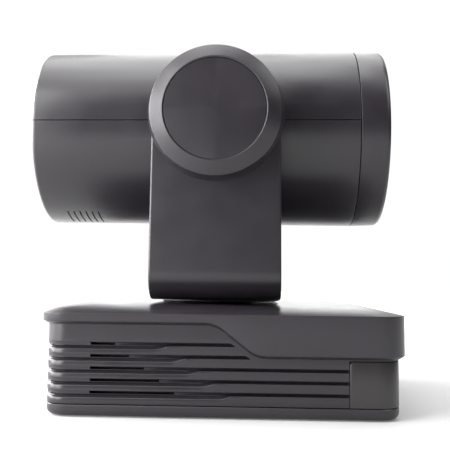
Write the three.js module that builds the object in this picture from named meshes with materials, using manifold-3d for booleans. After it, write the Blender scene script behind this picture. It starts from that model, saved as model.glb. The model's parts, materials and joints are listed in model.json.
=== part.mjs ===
// A desktop pan-tilt-zoom conference camera: a square base, a U-shaped yoke that
// pans on its lid, and a drum-shaped head that tilts between the two yoke arms.
// Millimetres, +Z up. The lens looks along +X and the camera's left side is +Y.
// The origin lies on the supporting surface, below the middle of the overall box.

import * as THREE from 'three';
import { mergeVertices } from 'three/addons/utils/BufferGeometryUtils.js';
import Module from 'manifold-3d';

// Clearances and walls
const GAP = 0.3;
const WALL = 2.2;

// Base, drawn about its own middle
const BASE_X = 7.3;
const BASE_WIDTH = 145;
const BASE_CORNER = 9.5;
const PLATE_Z = 0.4;
const FLOOR_Z = 2.8;
const PLATE_TOP_Z = 5;
const HOUSING_TOP_Z = 38.8;
const FOOT_RADIUS = 7;
const FOOT_OFFSET = 57;
const SCREW_X = 46;
const SCREW_Y = 64;

// Lid: a shallow cap whose skirt drops lower over the front half
const LID_WIDTH = 150;
const LID_CORNER = 12;
const LID_EDGE_Z = 41.8;
const LID_CROWN_Z = 45;
const LID_CROWN_SLOPE = -0.012;
const LID_CROWN_REACH = 22;
const SKIRT_REAR_Z = 37.3;
const SKIRT_FRONT_Z = 24.3;
const SKIRT_RAMP_START = -2.4;
const SKIRT_RAMP_END = 14.3;
const SKIRT_FILLET = 12;
const SKIRT_CHAMFER = 1.3;

// Side grooves: wide louvres towards the rear that narrow towards the front
const GROOVE_TOPS = [30.2, 25.3, 20.4, 15.6, 10.7];
const GROOVE_WIDE = 3.1;
const GROOVE_NARROW = 1.35;
const GROOVE_DEPTH = 1.1;
const WIDE_ENDS = [-22, -15.5, -9.3, -3, 3.9];
const NARROW_ENDS = [3.8, 10, 51.2, 51.2, 51.2];
const VENT_START = -53;
const VENT_ENDS = [-42.9, -37.1, -30.9, -24.7, -18.6];
const VENT_HEIGHT = 1.2;

// Window and rear panel
const WINDOW_X = 51.6;
const WINDOW_TOP_Z = 23.6;
const PANEL_HALF_WIDTH = 52;
const PANEL_BOTTOM_Z = 8.5;
const PANEL_TOP_Z = 32;
const PANEL_X = -70.2;

// Inside the base
const BOARD_TOP_Z = 9.6;
const CHASSIS_TOP_Z = 40.4;
const CHASSIS_SHEET = 1.6;
const CHASSIS_HALF_WIDTH = 30;
const MOTOR_HALF_WIDTH = 17.5;
const MOTOR_TOP_Z = 26;

// Pan axis, belt drive and turntable
const PAN_X = -3.7;
const TURNTABLE_RADIUS = 29;
const SHAFT_RADIUS = 16;
const PULLEY_Z = [31.2, 37.2];
const PAN_PULLEY_RADIUS = 24;
const MOTOR_PULLEY_RADIUS = 6;
const PAN_BELT_SPAN = 42;
const BELT_THICKNESS = 1.2;

// Yoke, drawn about the pan axis
const TILT_Z = 127.45;
const ARM_OUTER_Y = 59.2;
const ARM_INNER_Y = 45.2;
const ARM_HALF_WIDTH = 28.5;
const ARM_TOP_RADIUS = 28;
const YOKE_BOTTOM_Z = 47.05;
const YOKE_FLOOR_Z = 57.05;
const YOKE_CORNER = 12;
const YOKE_INNER_CORNER = 8;
const HUB_RADIUS = 29.6;
const HUB_RIM_RADIUS = 28.15;
const HUB_RIM_Y = 66.2;
const HUB_FACE_Y = 69.5;
const HUB_CAP_RADIUS = 22.05;

// Head, drawn about the tilt axis
const HEAD_RADIUS = 43.3;
const HEAD_TAPER = 0.0061;
const HEAD_REAR_X = -85.9;
const HEAD_SEAM_X = 64.85;
const HEAD_FRONT_X = 78.2;
const SHELL_SEAM_Z = 0.75;
const SHELL_SEAM_GAP = 0.4;
const AXLE_RADIUS = 8;
const TILT_PULLEY_RADIUS = 18;
const TILT_BELT_SPAN = 37.6;
const TILT_PULLEY_Y = [-32, -26];
const BARREL_RADIUS = 22;
const BARREL_BORE = 19.6;
const BELLY_VENT_X = -74.3;
const BELLY_VENT_PITCH = 3;

// How far an outline is drawn through before it is trimmed
const REACH_X = 40;
const REACH_Y = 70;

// Facets on round pieces
const FINE = 40;
const MEDIUM = 24;
const COARSE = 12;
const ARC_STEPS = 3;
const HALF_TURN_STEPS = 9;
const QUARTER = Math.PI / 2;

const wasm = await Module();
wasm.setup();

const plastic = new THREE.MeshStandardMaterial({ color: 0x4d4d51, roughness: 0.5 });
const darkPlastic = new THREE.MeshStandardMaterial({ color: 0x1c1c1f, roughness: 0.55 });
const glossBlack = new THREE.MeshStandardMaterial({ color: 0x101012, roughness: 0.12 });
const smokedAcrylic = new THREE.MeshStandardMaterial({ color: 0x1e181b, roughness: 0.2 });
const rubber = new THREE.MeshStandardMaterial({ color: 0x222224, roughness: 0.9 });
const steel = new THREE.MeshStandardMaterial({ color: 0xa9abae, roughness: 0.35, metalness: 1 });
const aluminium = new THREE.MeshStandardMaterial({ color: 0x8f9296, roughness: 0.45, metalness: 1 });
const brass = new THREE.MeshStandardMaterial({ color: 0xb59352, roughness: 0.35, metalness: 1 });
const circuitBoard = new THREE.MeshStandardMaterial({ color: 0x1d4d33, roughness: 0.6 });
const glass = new THREE.MeshStandardMaterial({ color: 0x141a2a, roughness: 0.04 });

// --- Solids -----------------------------------------------------------------

// Turns a closed geometry into a solid whose faces point outwards.
function solid(geometry) {
  geometry.deleteAttribute('normal');
  geometry.deleteAttribute('uv');
  const merged = mergeVertices(geometry, 1e-4);
  const points = merged.attributes.position;
  const corner = [0, 1, 2].map(() => new THREE.Vector3());
  const triangles = [];
  let volume = 0;
  for (let i = 0; i < merged.index.count; i += 3) {
    const ids = [0, 1, 2].map((k) => merged.index.getX(i + k));
    if (new Set(ids).size < 3) continue;
    ids.forEach((id, k) => corner[k].fromBufferAttribute(points, id));
    volume += corner[0].dot(corner[1].clone().cross(corner[2]));
    triangles.push(ids);
  }
  if (volume < 0) triangles.forEach((ids) => ids.reverse());
  return new wasm.Manifold(new wasm.Mesh({
    numProp: 3,
    vertProperties: Float32Array.from(points.array),
    triVerts: Uint32Array.from(triangles.flat()),
  }));
}

function join(first, ...others) {
  return others.reduce((whole, other) => whole.add(other), first);
}

function cut(first, ...others) {
  return others.reduce((rest, other) => rest.subtract(other), first);
}

function block(x0, x1, y0, y1, z0, z1) {
  const box = new THREE.BoxGeometry(x1 - x0, y1 - y0, z1 - z0);
  return solid(box.translate((x0 + x1) / 2, (y0 + y1) / 2, (z0 + z1) / 2));
}

// The same block on both sides of the plane y = 0.
function blockPair(x0, x1, y0, y1, z0, z1) {
  return join(block(x0, x1, y0, y1, z0, z1), block(x0, x1, -y1, -y0, z0, z1));
}

function extrusion(shape, depth, curveSegments) {
  return new THREE.ExtrudeGeometry(shape, { depth, bevelEnabled: false, curveSegments });
}

// A plan outline raised from z0 to z1.
function upright(shape, z0, z1, arcSteps = ARC_STEPS) {
  return solid(extrusion(shape, z1 - z0, arcSteps).translate(0, 0, z0));
}

// A side outline, drawn in x and z, carried from y0 to y1.
function crosswise(shape, y0, y1, arcSteps = ARC_STEPS) {
  return solid(extrusion(shape, y1 - y0, arcSteps).rotateX(QUARTER).translate(0, y1, 0));
}

// A front outline, drawn in y and z, carried from x0 to x1.
function lengthwise(shape, x0, x1, arcSteps = ARC_STEPS) {
  const turn = new THREE.Matrix4().makeBasis(
    new THREE.Vector3(0, 1, 0),
    new THREE.Vector3(0, 0, 1),
    new THREE.Vector3(1, 0, 0),
  );
  return solid(extrusion(shape, x1 - x0, arcSteps).applyMatrix4(turn).translate(x0, 0, 0));
}

// A profile of [radius, distance along the axis] points turned round that axis.
function turned(axis, profile, segments = MEDIUM) {
  const points = profile.map(([radius, along]) => new THREE.Vector2(radius, along));
  const lathe = new THREE.LatheGeometry(points, segments);
  if (axis === 'x') lathe.rotateZ(-QUARTER);
  if (axis === 'z') lathe.rotateX(QUARTER);
  return solid(lathe);
}

function rod(axis, radius, from, to, segments = MEDIUM) {
  return turned(axis, [[0, from], [radius, from], [radius, to], [0, to]], segments);
}

function ring(axis, bore, radius, from, to, segments = MEDIUM) {
  const profile = [[bore, from], [radius, from], [radius, to], [bore, to], [bore, from]];
  return turned(axis, profile, segments);
}

function moved(shape, x, y, z) {
  return shape.translate([x, y, z]);
}

// Rings of equally many points, skinned in order and closed at both ends.
function skinned(rings) {
  const count = rings[0].length;
  const centre = (ringPoints) => ringPoints
    .reduce((sum, point) => sum.add(point), new THREE.Vector3())
    .divideScalar(count);
  const vertices = [...rings.flat(), centre(rings[0]), centre(rings.at(-1))];
  const top = rings.length * count;
  const last = top - count;
  const index = [];
  for (let i = 0; i < count; i += 1) {
    const next = (i + 1) % count;
    index.push(top, i, next);
    index.push(top + 1, last + next, last + i);
    for (let row = 0; row < last; row += count) {
      index.push(row + i, row + count + i, row + next);
      index.push(row + next, row + count + i, row + count + next);
    }
  }
  const geometry = new THREE.BufferGeometry().setFromPoints(vertices);
  geometry.setIndex(index);
  return solid(geometry);
}

// --- Outlines ---------------------------------------------------------------

function roundedRect(x0, x1, y0, y1, r) {
  const shape = new THREE.Shape();
  shape.absarc(x1 - r, y1 - r, r, 0, QUARTER);
  shape.absarc(x0 + r, y1 - r, r, QUARTER, 2 * QUARTER);
  shape.absarc(x0 + r, y0 + r, r, 2 * QUARTER, 3 * QUARTER);
  shape.absarc(x1 - r, y0 + r, r, 3 * QUARTER, 4 * QUARTER);
  return shape;
}

function basePlan(inset) {
  const half = BASE_WIDTH / 2 - inset;
  return roundedRect(-half, half, -half, half, BASE_CORNER - inset);
}

// Two round ends joined by the tangents they share, as a belt lies on two wheels.
function beltOutline(radius, smallRadius, span) {
  const tangent = Math.acos((radius - smallRadius) / span);
  const shape = new THREE.Shape();
  shape.absarc(0, 0, radius, tangent, 4 * QUARTER - tangent);
  shape.absarc(span, 0, smallRadius, -tangent, tangent);
  return shape;
}

// The loop of a flat belt round two pulleys, with running clearance inside it.
function beltLoop(radius, smallRadius, span) {
  const outer = BELT_THICKNESS + GAP;
  const shape = beltOutline(radius + outer, smallRadius + outer, span);
  shape.holes.push(beltOutline(radius + GAP, smallRadius + GAP, span));
  return shape;
}

// Side view of a yoke arm: straight sides closing slightly upwards to a round top.
function armOutline(inset) {
  const shape = new THREE.Shape();
  shape.moveTo(-ARM_HALF_WIDTH + inset, YOKE_BOTTOM_Z - WALL);
  shape.lineTo(ARM_HALF_WIDTH - inset, YOKE_BOTTOM_Z - WALL);
  shape.absarc(0, TILT_Z, ARM_TOP_RADIUS - inset, 0, 2 * QUARTER);
  return shape;
}

// Front view of a U: outer faces and underside, then inner faces and floor.
function uOutline(outerY, bottomZ, corner, innerY, floorZ, innerCorner) {
  const top = TILT_Z + ARM_TOP_RADIUS + WALL;
  const shape = new THREE.Shape();
  shape.moveTo(-outerY, top);
  shape.lineTo(-outerY, bottomZ + corner);
  shape.absarc(-outerY + corner, bottomZ + corner, corner, 2 * QUARTER, 3 * QUARTER);
  shape.absarc(outerY - corner, bottomZ + corner, corner, 3 * QUARTER, 4 * QUARTER);
  shape.lineTo(outerY, top);
  shape.lineTo(innerY, top);
  shape.absarc(innerY - innerCorner, floorZ + innerCorner, innerCorner, 0, -QUARTER, true);
  shape.absarc(-innerY + innerCorner, floorZ + innerCorner, innerCorner, 3 * QUARTER, 2 * QUARTER, true);
  shape.lineTo(-innerY, top);
  return shape;
}

// The space between the outer walls of the yoke, open towards the head.
function yokeSpace() {
  const top = TILT_Z + ARM_TOP_RADIUS + WALL;
  const corner = YOKE_CORNER - WALL;
  const half = ARM_OUTER_Y - WALL;
  const bottom = YOKE_BOTTOM_Z + WALL;
  return roundedRect(-half, half, bottom, top, corner);
}

// Height of the skirt's lower edge: level, a filleted ramp, then level again.
function skirtEdge(x) {
  const drop = SKIRT_REAR_Z - SKIRT_FRONT_Z;
  const slope = Math.atan2(drop, SKIRT_RAMP_END - SKIRT_RAMP_START);
  const tangent = SKIRT_FILLET * Math.tan(slope / 2);
  const arcWidth = SKIRT_FILLET * Math.sin(slope);
  const sag = (d) => SKIRT_FILLET - Math.sqrt(SKIRT_FILLET ** 2 - d ** 2);
  const fromStart = x - (SKIRT_RAMP_START - tangent);
  const toEnd = SKIRT_RAMP_END + tangent - x;
  if (fromStart <= 0) return SKIRT_REAR_Z;
  if (toEnd <= 0) return SKIRT_FRONT_Z;
  if (fromStart < arcWidth) return SKIRT_REAR_Z - sag(fromStart);
  if (toEnd < arcWidth) return SKIRT_FRONT_Z + sag(toEnd);
  return SKIRT_REAR_Z - Math.tan(slope) * (x - SKIRT_RAMP_START);
}

// --- Base -------------------------------------------------------------------

// A ring of points on a rounded square, with extra stations along the two sides.
function planRing(width, corner, height, stations = []) {
  const half = width / 2;
  const cornerSteps = 5;
  const points = [];
  const add = (x, y) => points.push(new THREE.Vector3(x, y, height(x)));
  [[1, 1], [-1, 1], [-1, -1], [1, -1]].forEach(([sideX, sideY], quarter) => {
    for (let i = 0; i <= cornerSteps; i += 1) {
      const angle = (quarter + i / cornerSteps) * QUARTER;
      const x = sideX * (half - corner) + corner * Math.cos(angle);
      add(x, sideY * (half - corner) + corner * Math.sin(angle));
    }
    if (quarter === 0) stations.toReversed().forEach((x) => add(x, half));
    if (quarter === 2) stations.forEach((x) => add(x, -half));
  });
  return points;
}

// The lid is crowned, falls away a little to the front, and is hollow underneath.
function baseLid() {
  const rampStations = [-6, -3.5, -1, 1.5, 6, 10.5, 13, 15.5, 18];
  const crown = (x) => LID_CROWN_Z + LID_CROWN_SLOPE * x;
  const ceiling = (x) => crown(x) - WALL;
  const ringAt = (inset, height) => planRing(
    LID_WIDTH - 2 * inset,
    inset > LID_CORNER / 2 ? LID_CORNER : LID_CORNER - inset,
    height,
    rampStations,
  );
  const crownRing = (inset) => {
    const rise = Math.sqrt(1 - (1 - inset / LID_CROWN_REACH) ** 2);
    return ringAt(inset, (x) => LID_EDGE_Z + (crown(x) - LID_EDGE_Z) * rise);
  };
  const body = skinned([
    ...[LID_CROWN_REACH, 12, 6, 2.5, 0.8, 0].map(crownRing),
    ringAt(0, (x) => skirtEdge(x) + SKIRT_CHAMFER),
    ringAt(WALL, skirtEdge),
    ringAt(WALL, () => LID_EDGE_Z - WALL),
    ringAt(LID_CROWN_REACH, ceiling),
  ]);
  const shaftHole = moved(rod('z', SHAFT_RADIUS + 1, 30, 60), PAN_X, 0, 0);
  return cut(body, shaftHole);
}

// Cutters for one groove line: a band round the sides and the rear, open to the outside.
function grooveCutters(line) {
  const top = GROOVE_TOPS[line];
  const half = BASE_WIDTH / 2;
  const shape = roundedRect(-half - 5, half + 5, -half - 5, half + 5, BASE_CORNER);
  shape.holes.push(basePlan(GROOVE_DEPTH));
  const panelEnd = PANEL_HALF_WIDTH + 3;
  const behindPanel = block(-half - 6, -half + 6, -panelEnd, panelEnd, 0, 60);
  const band = (height, end) => {
    const reach = block(-half - 6, end, -half - 6, half + 6, top - height, top);
    return upright(shape, top - height, top).intersect(reach).subtract(behindPanel);
  };
  const vent = blockPair(VENT_START, VENT_ENDS[line], half - 5, half + 5, top - VENT_HEIGHT, top);
  return [
    band(GROOVE_WIDE, WIDE_ENDS[line]),
    band(GROOVE_NARROW, NARROW_ENDS[line]),
    vent,
  ];
}

function baseHousing() {
  const outside = upright(basePlan(0), PLATE_TOP_Z + GAP, HOUSING_TOP_Z);
  const inside = upright(basePlan(WALL), PLATE_TOP_Z, HOUSING_TOP_Z + 1);
  const windowCut = block(WINDOW_X - GAP, 80, -80, 80, 0, WINDOW_TOP_Z + GAP);
  const panelCut = block(
    -80, -60, -PANEL_HALF_WIDTH, PANEL_HALF_WIDTH, PANEL_BOTTOM_Z, PANEL_TOP_Z,
  );
  const posts = [-SCREW_X, SCREW_X].flatMap((x) => {
    const post = blockPair(x - 4, x + 4, SCREW_Y - 4, 71, PLATE_TOP_Z + GAP, 22);
    const pilot = [-SCREW_Y, SCREW_Y].map((y) => moved(rod('z', 1.7, 4, 18, COARSE), x, y, 0));
    return cut(post, ...pilot);
  });
  const grooves = GROOVE_TOPS.flatMap((top, line) => grooveCutters(line));
  return join(cut(outside, inside, windowCut, panelCut, ...grooves), ...posts);
}

// The plate is a shallow tray with a rounded lower edge and board posts inside.
function basePlate() {
  const width = BASE_WIDTH;
  const level = (inset, z) => planRing(width - 2 * inset, BASE_CORNER - inset, () => z);
  const tray = skinned([
    level(2.6, PLATE_Z),
    level(0.8, PLATE_Z + 0.6),
    level(0, PLATE_Z + 2.2),
    level(0, PLATE_TOP_Z),
    level(WALL, PLATE_TOP_Z),
    level(WALL, FLOOR_Z),
  ]);
  const footPockets = footPlaces().map(({ x, y }) => {
    return moved(rod('z', FOOT_RADIUS + GAP, 0, 2.3), x, y, 0);
  });
  const screwHoles = screwPlaces().map(({ x, y }) => {
    const hole = join(rod('z', 1.9, 0, 6, COARSE), rod('z', 3.4, 0, 2.3, COARSE));
    return moved(hole, x, y, 0);
  });
  const bushHole = rod('z', 6.3, 0, 6);
  const boardPosts = [[-63, 48], [-63, -48], [-40, 48], [-40, -48]].map(([x, y]) => {
    return moved(rod('z', 2.5, FLOOR_Z - 0.5, 7.7, COARSE), x, y, 0);
  });
  return join(cut(tray, bushHole, ...footPockets, ...screwHoles), ...boardPosts);
}

function footPlaces() {
  return [
    { name: 'foot_front_left', x: FOOT_OFFSET, y: FOOT_OFFSET },
    { name: 'foot_front_right', x: FOOT_OFFSET, y: -FOOT_OFFSET },
    { name: 'foot_rear_left', x: -FOOT_OFFSET, y: FOOT_OFFSET },
    { name: 'foot_rear_right', x: -FOOT_OFFSET, y: -FOOT_OFFSET },
  ];
}

function screwPlaces() {
  return [
    { name: 'base_screw_front_left', x: SCREW_X, y: SCREW_Y },
    { name: 'base_screw_front_right', x: SCREW_X, y: -SCREW_Y },
    { name: 'base_screw_rear_left', x: -SCREW_X, y: SCREW_Y },
    { name: 'base_screw_rear_right', x: -SCREW_X, y: -SCREW_Y },
  ];
}

function foot() {
  const profile = [[0, 0], [6.2, 0], [FOOT_RADIUS, 0.6], [FOOT_RADIUS, 2], [0, 2]];
  return turned('z', profile);
}

// A pan-head screw with a cross recess, its head sunk in the plate.
function baseScrew() {
  const profile = [[0, 1.3], [2.6, 1.3], [3, 1.7], [3, 2], [1.5, 2], [1.5, 12], [0, 12.6]];
  const cross = join(block(-1.6, 1.6, -0.35, 0.35, 0, 1.9), block(-0.35, 0.35, -1.6, 1.6, 0, 1.9));
  return cut(turned('z', profile, COARSE), cross);
}

// Brass bush for a quarter-inch camera screw, with a flange inside the plate.
function tripodBush() {
  const bottom = PLATE_Z + 0.4;
  const flange = FLOOR_Z + GAP;
  return turned('z', [
    [3.1, bottom], [6, bottom], [6, flange], [8.5, flange],
    [8.5, flange + 1.5], [6, flange + 1.5], [6, 9], [3.1, 9], [3.1, bottom],
  ]);
}

// Smoked cover over the infrared receivers, wrapping round both front corners.
function irWindow() {
  const outer = upright(basePlan(0), PLATE_TOP_Z + GAP, WINDOW_TOP_Z);
  const inner = upright(basePlan(WALL), PLATE_TOP_Z, WINDOW_TOP_Z + 1);
  const front = roundedRect(WINDOW_X, 90, 0, WINDOW_TOP_Z, 1.6);
  return cut(outer, inner).intersect(crosswise(front, -80, 80));
}

// The connectors on the rear edge of the main board, by the middle of each.
function portPlaces() {
  return [
    { name: 'dc_jack', make: dcJack, y: 42, half: 4.6, height: 11 },
    { name: 'lan_port', make: lanPort, y: 24, half: 8, height: 13.6 },
    { name: 'hdmi_port', make: hdmiPort, y: 4, half: 7.5, height: 6.4 },
    { name: 'usb_port', make: usbPort, y: -13, half: 6.7, height: 7 },
    { name: 'audio_jack', make: audioJack, y: -27, half: 3.2, height: 6.4 },
    { name: 'serial_port', make: serialPort, y: -42, half: 7, height: 13.6 },
  ];
}

function rearPanel() {
  const plate = block(
    PANEL_X, PANEL_X + 1.5,
    -PANEL_HALF_WIDTH - 3, PANEL_HALF_WIDTH + 3,
    PLATE_TOP_Z + GAP, PANEL_TOP_Z + 2,
  );
  const holes = portPlaces().map(({ y, half, height }) => {
    const top = BOARD_TOP_Z + 2 * GAP + height;
    return block(-80, -60, y - half - GAP, y + half + GAP, BOARD_TOP_Z, top);
  });
  return cut(plate, ...holes);
}

// A connector shell standing on the board, its mouth facing the rear.
function portShell(half, height, depth) {
  const front = PANEL_X - 0.5;
  return block(front, front + depth, -half, half, BOARD_TOP_Z + GAP, BOARD_TOP_Z + GAP + height);
}

function lanPort() {
  const z = BOARD_TOP_Z + GAP;
  const mouth = block(-80, PANEL_X + 11, -5.9, 5.9, z + 3, z + 11);
  const latch = block(-80, PANEL_X + 8, -3, 3, z + 1.4, z + 4);
  return cut(portShell(8, 13.6, 16), mouth, latch);
}

function hdmiPort() {
  const z = BOARD_TOP_Z + GAP;
  const mouth = block(-80, PANEL_X + 8, -6.9, 6.9, z + 0.8, z + 5.6);
  const tongue = block(PANEL_X + 1, PANEL_X + 9, -5.4, 5.4, z + 2.6, z + 3.8);
  return join(cut(portShell(7.5, 6.4, 11), mouth), tongue);
}

function usbPort() {
  const z = BOARD_TOP_Z + GAP;
  const mouth = block(-80, PANEL_X + 10, -6.1, 6.1, z + 0.6, z + 6.4);
  const tongue = block(PANEL_X + 1, PANEL_X + 11, -5.4, 5.4, z + 3.2, z + 5);
  return join(cut(portShell(6.7, 7, 14), mouth), tongue);
}

function audioJack() {
  const z = BOARD_TOP_Z + GAP + 3.2;
  return cut(portShell(3.2, 6.4, 12), moved(rod('x', 1.8, -80, PANEL_X + 10, COARSE), 0, 0, z));
}

function serialPort() {
  const z = BOARD_TOP_Z + GAP + 6.8;
  const well = moved(ring('x', 3.6, 4.9, -80, PANEL_X + 3), 0, 0, z);
  return cut(portShell(7, 13.6, 12), well);
}

function dcJack() {
  const z = BOARD_TOP_Z + GAP + 5.5;
  const well = moved(ring('x', 1.1, 3.2, -80, PANEL_X + 9), 0, 0, z);
  return cut(portShell(4.6, 11, 13), well);
}

// A sheet-metal bridge over the pan motor that carries the pan bearing.
function baseChassis() {
  const [rearX, frontX] = [PAN_X - 29.6, 61];
  const sheet = (x0, x1, z0) => {
    return block(x0, x1, -CHASSIS_HALF_WIDTH, CHASSIS_HALF_WIDTH, z0, CHASSIS_TOP_Z);
  };
  const top = sheet(rearX, frontX, CHASSIS_TOP_Z - CHASSIS_SHEET);
  const rearLeg = sheet(rearX, rearX + CHASSIS_SHEET, FLOOR_Z + GAP);
  const frontLeg = sheet(frontX - CHASSIS_SHEET, frontX, FLOOR_Z + GAP);
  const seat = moved(rod('z', 22.3, 38, 41), PAN_X, 0, 0);
  return cut(join(top, rearLeg, frontLeg), seat);
}

function panMotor() {
  const x = PAN_X + PAN_BELT_SPAN;
  const half = MOTOR_HALF_WIDTH;
  const can = upright(roundedRect(x - half, x + half, -half, half, 4), FLOOR_Z + GAP, MOTOR_TOP_Z);
  const boss = rod('z', 10, MOTOR_TOP_Z, MOTOR_TOP_Z + 1.5);
  const shaftHole = rod('z', 2.8, MOTOR_TOP_Z - 4, MOTOR_TOP_Z + 2, COARSE);
  return cut(join(can, moved(boss, x, 0, 0)), moved(shaftHole, x, 0, 0));
}

function motorPulley(axis, from, to, shaftEnd) {
  return join(
    rod(axis, MOTOR_PULLEY_RADIUS, from, to),
    rod(axis, 2.5, Math.min(from, shaftEnd), Math.max(to, shaftEnd), COARSE),
  );
}

function addBase(group) {
  const wallX = BASE_WIDTH / 2 - WALL;
  addPart(group, 'base_plate', basePlate(), plastic);
  footPlaces().forEach(({ name, x, y }) => addPart(group, name, moved(foot(), x, y, 0), rubber));
  screwPlaces().forEach(({ name, x, y }) => {
    addPart(group, name, moved(baseScrew(), x, y, 0), steel);
  });
  addPart(group, 'tripod_bush', tripodBush(), brass);
  addPart(group, 'base_housing', baseHousing(), plastic);
  addPart(group, 'base_lid', baseLid(), plastic);
  addPart(group, 'ir_window', irWindow(), smokedAcrylic);
  addPart(group, 'rear_panel', rearPanel(), darkPlastic);
  addPart(group, 'main_board', block(-68, -37, -50, 50, 8, BOARD_TOP_Z), circuitBoard);
  portPlaces().forEach(({ name, make, y }) => addPart(group, name, moved(make(), 0, y, 0), steel));
  addPart(group, 'ir_board', block(wallX - 5, wallX - 3.4, -34, 34, 7, 21), circuitBoard);
  [['ir_receiver_left', 24], ['ir_receiver_right', -24]].forEach(([name, y]) => {
    const lens = turned('x', [[0, wallX - 3.1], [2.6, wallX - 3.1], [2.6, wallX - 1.4],
      [1.6, wallX - 0.6], [0, wallX - 0.4]], COARSE);
    addPart(group, name, moved(lens, 0, y, 14), glossBlack);
  });
  addPart(group, 'status_led', moved(rod('x', 1.3, wallX - 3.1, wallX - 0.6, COARSE), 0, 0, 14), glass);
  addPart(group, 'base_chassis', baseChassis(), aluminium);
  const bearing = ring('z', SHAFT_RADIUS + GAP, 22, 38, 41.4);
  addPart(group, 'pan_bearing', moved(bearing, PAN_X, 0, 0), steel);
  addPart(group, 'pan_motor', panMotor(), aluminium);
  const loop = beltLoop(PAN_PULLEY_RADIUS, MOTOR_PULLEY_RADIUS, PAN_BELT_SPAN);
  const belt = upright(loop, 31.7, 36.7, HALF_TURN_STEPS);
  addPart(group, 'pan_belt', moved(belt, PAN_X, 0, 0), rubber);
  const pulley = motorPulley('z', ...PULLEY_Z, MOTOR_TOP_Z - 2);
  addPart(group, 'pan_motor_pulley', moved(pulley, PAN_X + PAN_BELT_SPAN, 0, 0), aluminium);
}

// --- Yoke -------------------------------------------------------------------

// Hollow shaft through the lid, with the thin disc that shows under the yoke.
function turntable() {
  return turned('z', [
    [11, 31], [SHAFT_RADIUS, 31], [SHAFT_RADIUS, 45.65], [TURNTABLE_RADIUS, 45.65],
    [TURNTABLE_RADIUS, 46.75], [13, 46.75], [13, 50.7], [11, 50.7], [11, 31],
  ], FINE);
}

function yokeShell() {
  const u = lengthwise(
    uOutline(ARM_OUTER_Y, YOKE_BOTTOM_Z, YOKE_CORNER, ARM_INNER_Y, YOKE_FLOOR_Z, YOKE_INNER_CORNER),
    -REACH_X, REACH_X,
  );
  const arm = crosswise(armOutline(0), -REACH_Y, REACH_Y, HALF_TURN_STEPS);
  const innerArm = crosswise(armOutline(WALL), -REACH_Y, REACH_Y, HALF_TURN_STEPS);
  const space = lengthwise(yokeSpace(), -REACH_X, REACH_X).intersect(innerArm);
  const hubHole = moved(rod('y', HUB_CAP_RADIUS, -REACH_Y, REACH_Y), 0, 0, TILT_Z);
  const bossHole = rod('z', 13 + GAP, 40, 52);
  return cut(u.intersect(arm), space, hubHole, bossHole);
}

// Inner cover of the yoke: lines both arms and the floor on the side of the head.
function yokeLiner() {
  const u = lengthwise(
    uOutline(ARM_INNER_Y + 2, YOKE_FLOOR_Z - 2, YOKE_INNER_CORNER + 2,
      ARM_INNER_Y, YOKE_FLOOR_Z, YOKE_INNER_CORNER),
    -REACH_X, REACH_X,
  );
  const outline = crosswise(armOutline(WALL + GAP), -REACH_Y, REACH_Y, HALF_TURN_STEPS);
  const axleHole = moved(rod('y', AXLE_RADIUS + 1, -REACH_Y, REACH_Y), 0, 0, TILT_Z);
  return cut(u.intersect(outline), axleHole);
}

// Bent steel bracket between the shells that carries both tilt axles.
function yokeFrame() {
  const u = lengthwise(uOutline(51, 51, 5, 49, 53, 3), -REACH_X, REACH_X);
  const outline = crosswise(armOutline(7), -REACH_Y, REACH_Y, HALF_TURN_STEPS);
  const axleHole = moved(rod('y', AXLE_RADIUS + GAP, -REACH_Y, REACH_Y), 0, 0, TILT_Z);
  return cut(u.intersect(outline), axleHole, rod('z', 11, 40, 54));
}

// The flanged stub axle of one side; side is 1 on the left and -1 on the right.
function tiltAxle(side, innerY) {
  const bore = 5;
  return turned('y', [
    [bore, side * innerY], [AXLE_RADIUS, side * innerY], [AXLE_RADIUS, side * 51.3],
    [14, side * 51.3], [14, side * 53.3], [bore, side * 53.3], [bore, side * innerY],
  ]);
}

function hubRing(side) {
  const bore = HUB_CAP_RADIUS + GAP;
  return turned('y', [
    [bore, side * (ARM_OUTER_Y + GAP)], [HUB_RADIUS, side * (ARM_OUTER_Y + GAP)],
    [HUB_RIM_RADIUS, side * HUB_RIM_Y], [bore + 0.5, side * HUB_FACE_Y],
    [bore, side * (HUB_FACE_Y - 0.2)], [bore, side * (ARM_OUTER_Y + GAP)],
  ], FINE);
}

function hubCap(side) {
  return turned('y', [
    [0, side * 65], [HUB_CAP_RADIUS, side * 65], [HUB_CAP_RADIUS, side * 68.9],
    [HUB_CAP_RADIUS - 0.4, side * 69.1], [0, side * 69.1],
  ], FINE);
}

function addYoke(group) {
  addPart(group, 'turntable', turntable(), darkPlastic);
  const pulley = ring('z', SHAFT_RADIUS + GAP, PAN_PULLEY_RADIUS, ...PULLEY_Z);
  addPart(group, 'pan_pulley', pulley, aluminium);
  addPart(group, 'yoke_shell', yokeShell(), plastic);
  addPart(group, 'yoke_liner', yokeLiner(), plastic);
  addPart(group, 'yoke_frame', yokeFrame(), steel);
  [['left', 1, 31], ['right', -1, 25.5]].forEach(([name, side, innerY]) => {
    const atAxis = (shape) => moved(shape, 0, 0, TILT_Z);
    addPart(group, `${name}_tilt_axle`, atAxis(tiltAxle(side, innerY)), steel);
    addPart(group, `${name}_hub_ring`, atAxis(hubRing(side)), plastic);
    addPart(group, `${name}_hub_cap`, atAxis(hubCap(side)), plastic);
  });
  const tiltPulley = ring('y', AXLE_RADIUS + GAP, TILT_PULLEY_RADIUS, ...TILT_PULLEY_Y);
  addPart(group, 'tilt_pulley', moved(tiltPulley, 0, 0, TILT_Z), aluminium);
}

// --- Head -------------------------------------------------------------------

function headRadius(x) {
  return HEAD_RADIUS + HEAD_TAPER * x;
}

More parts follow.
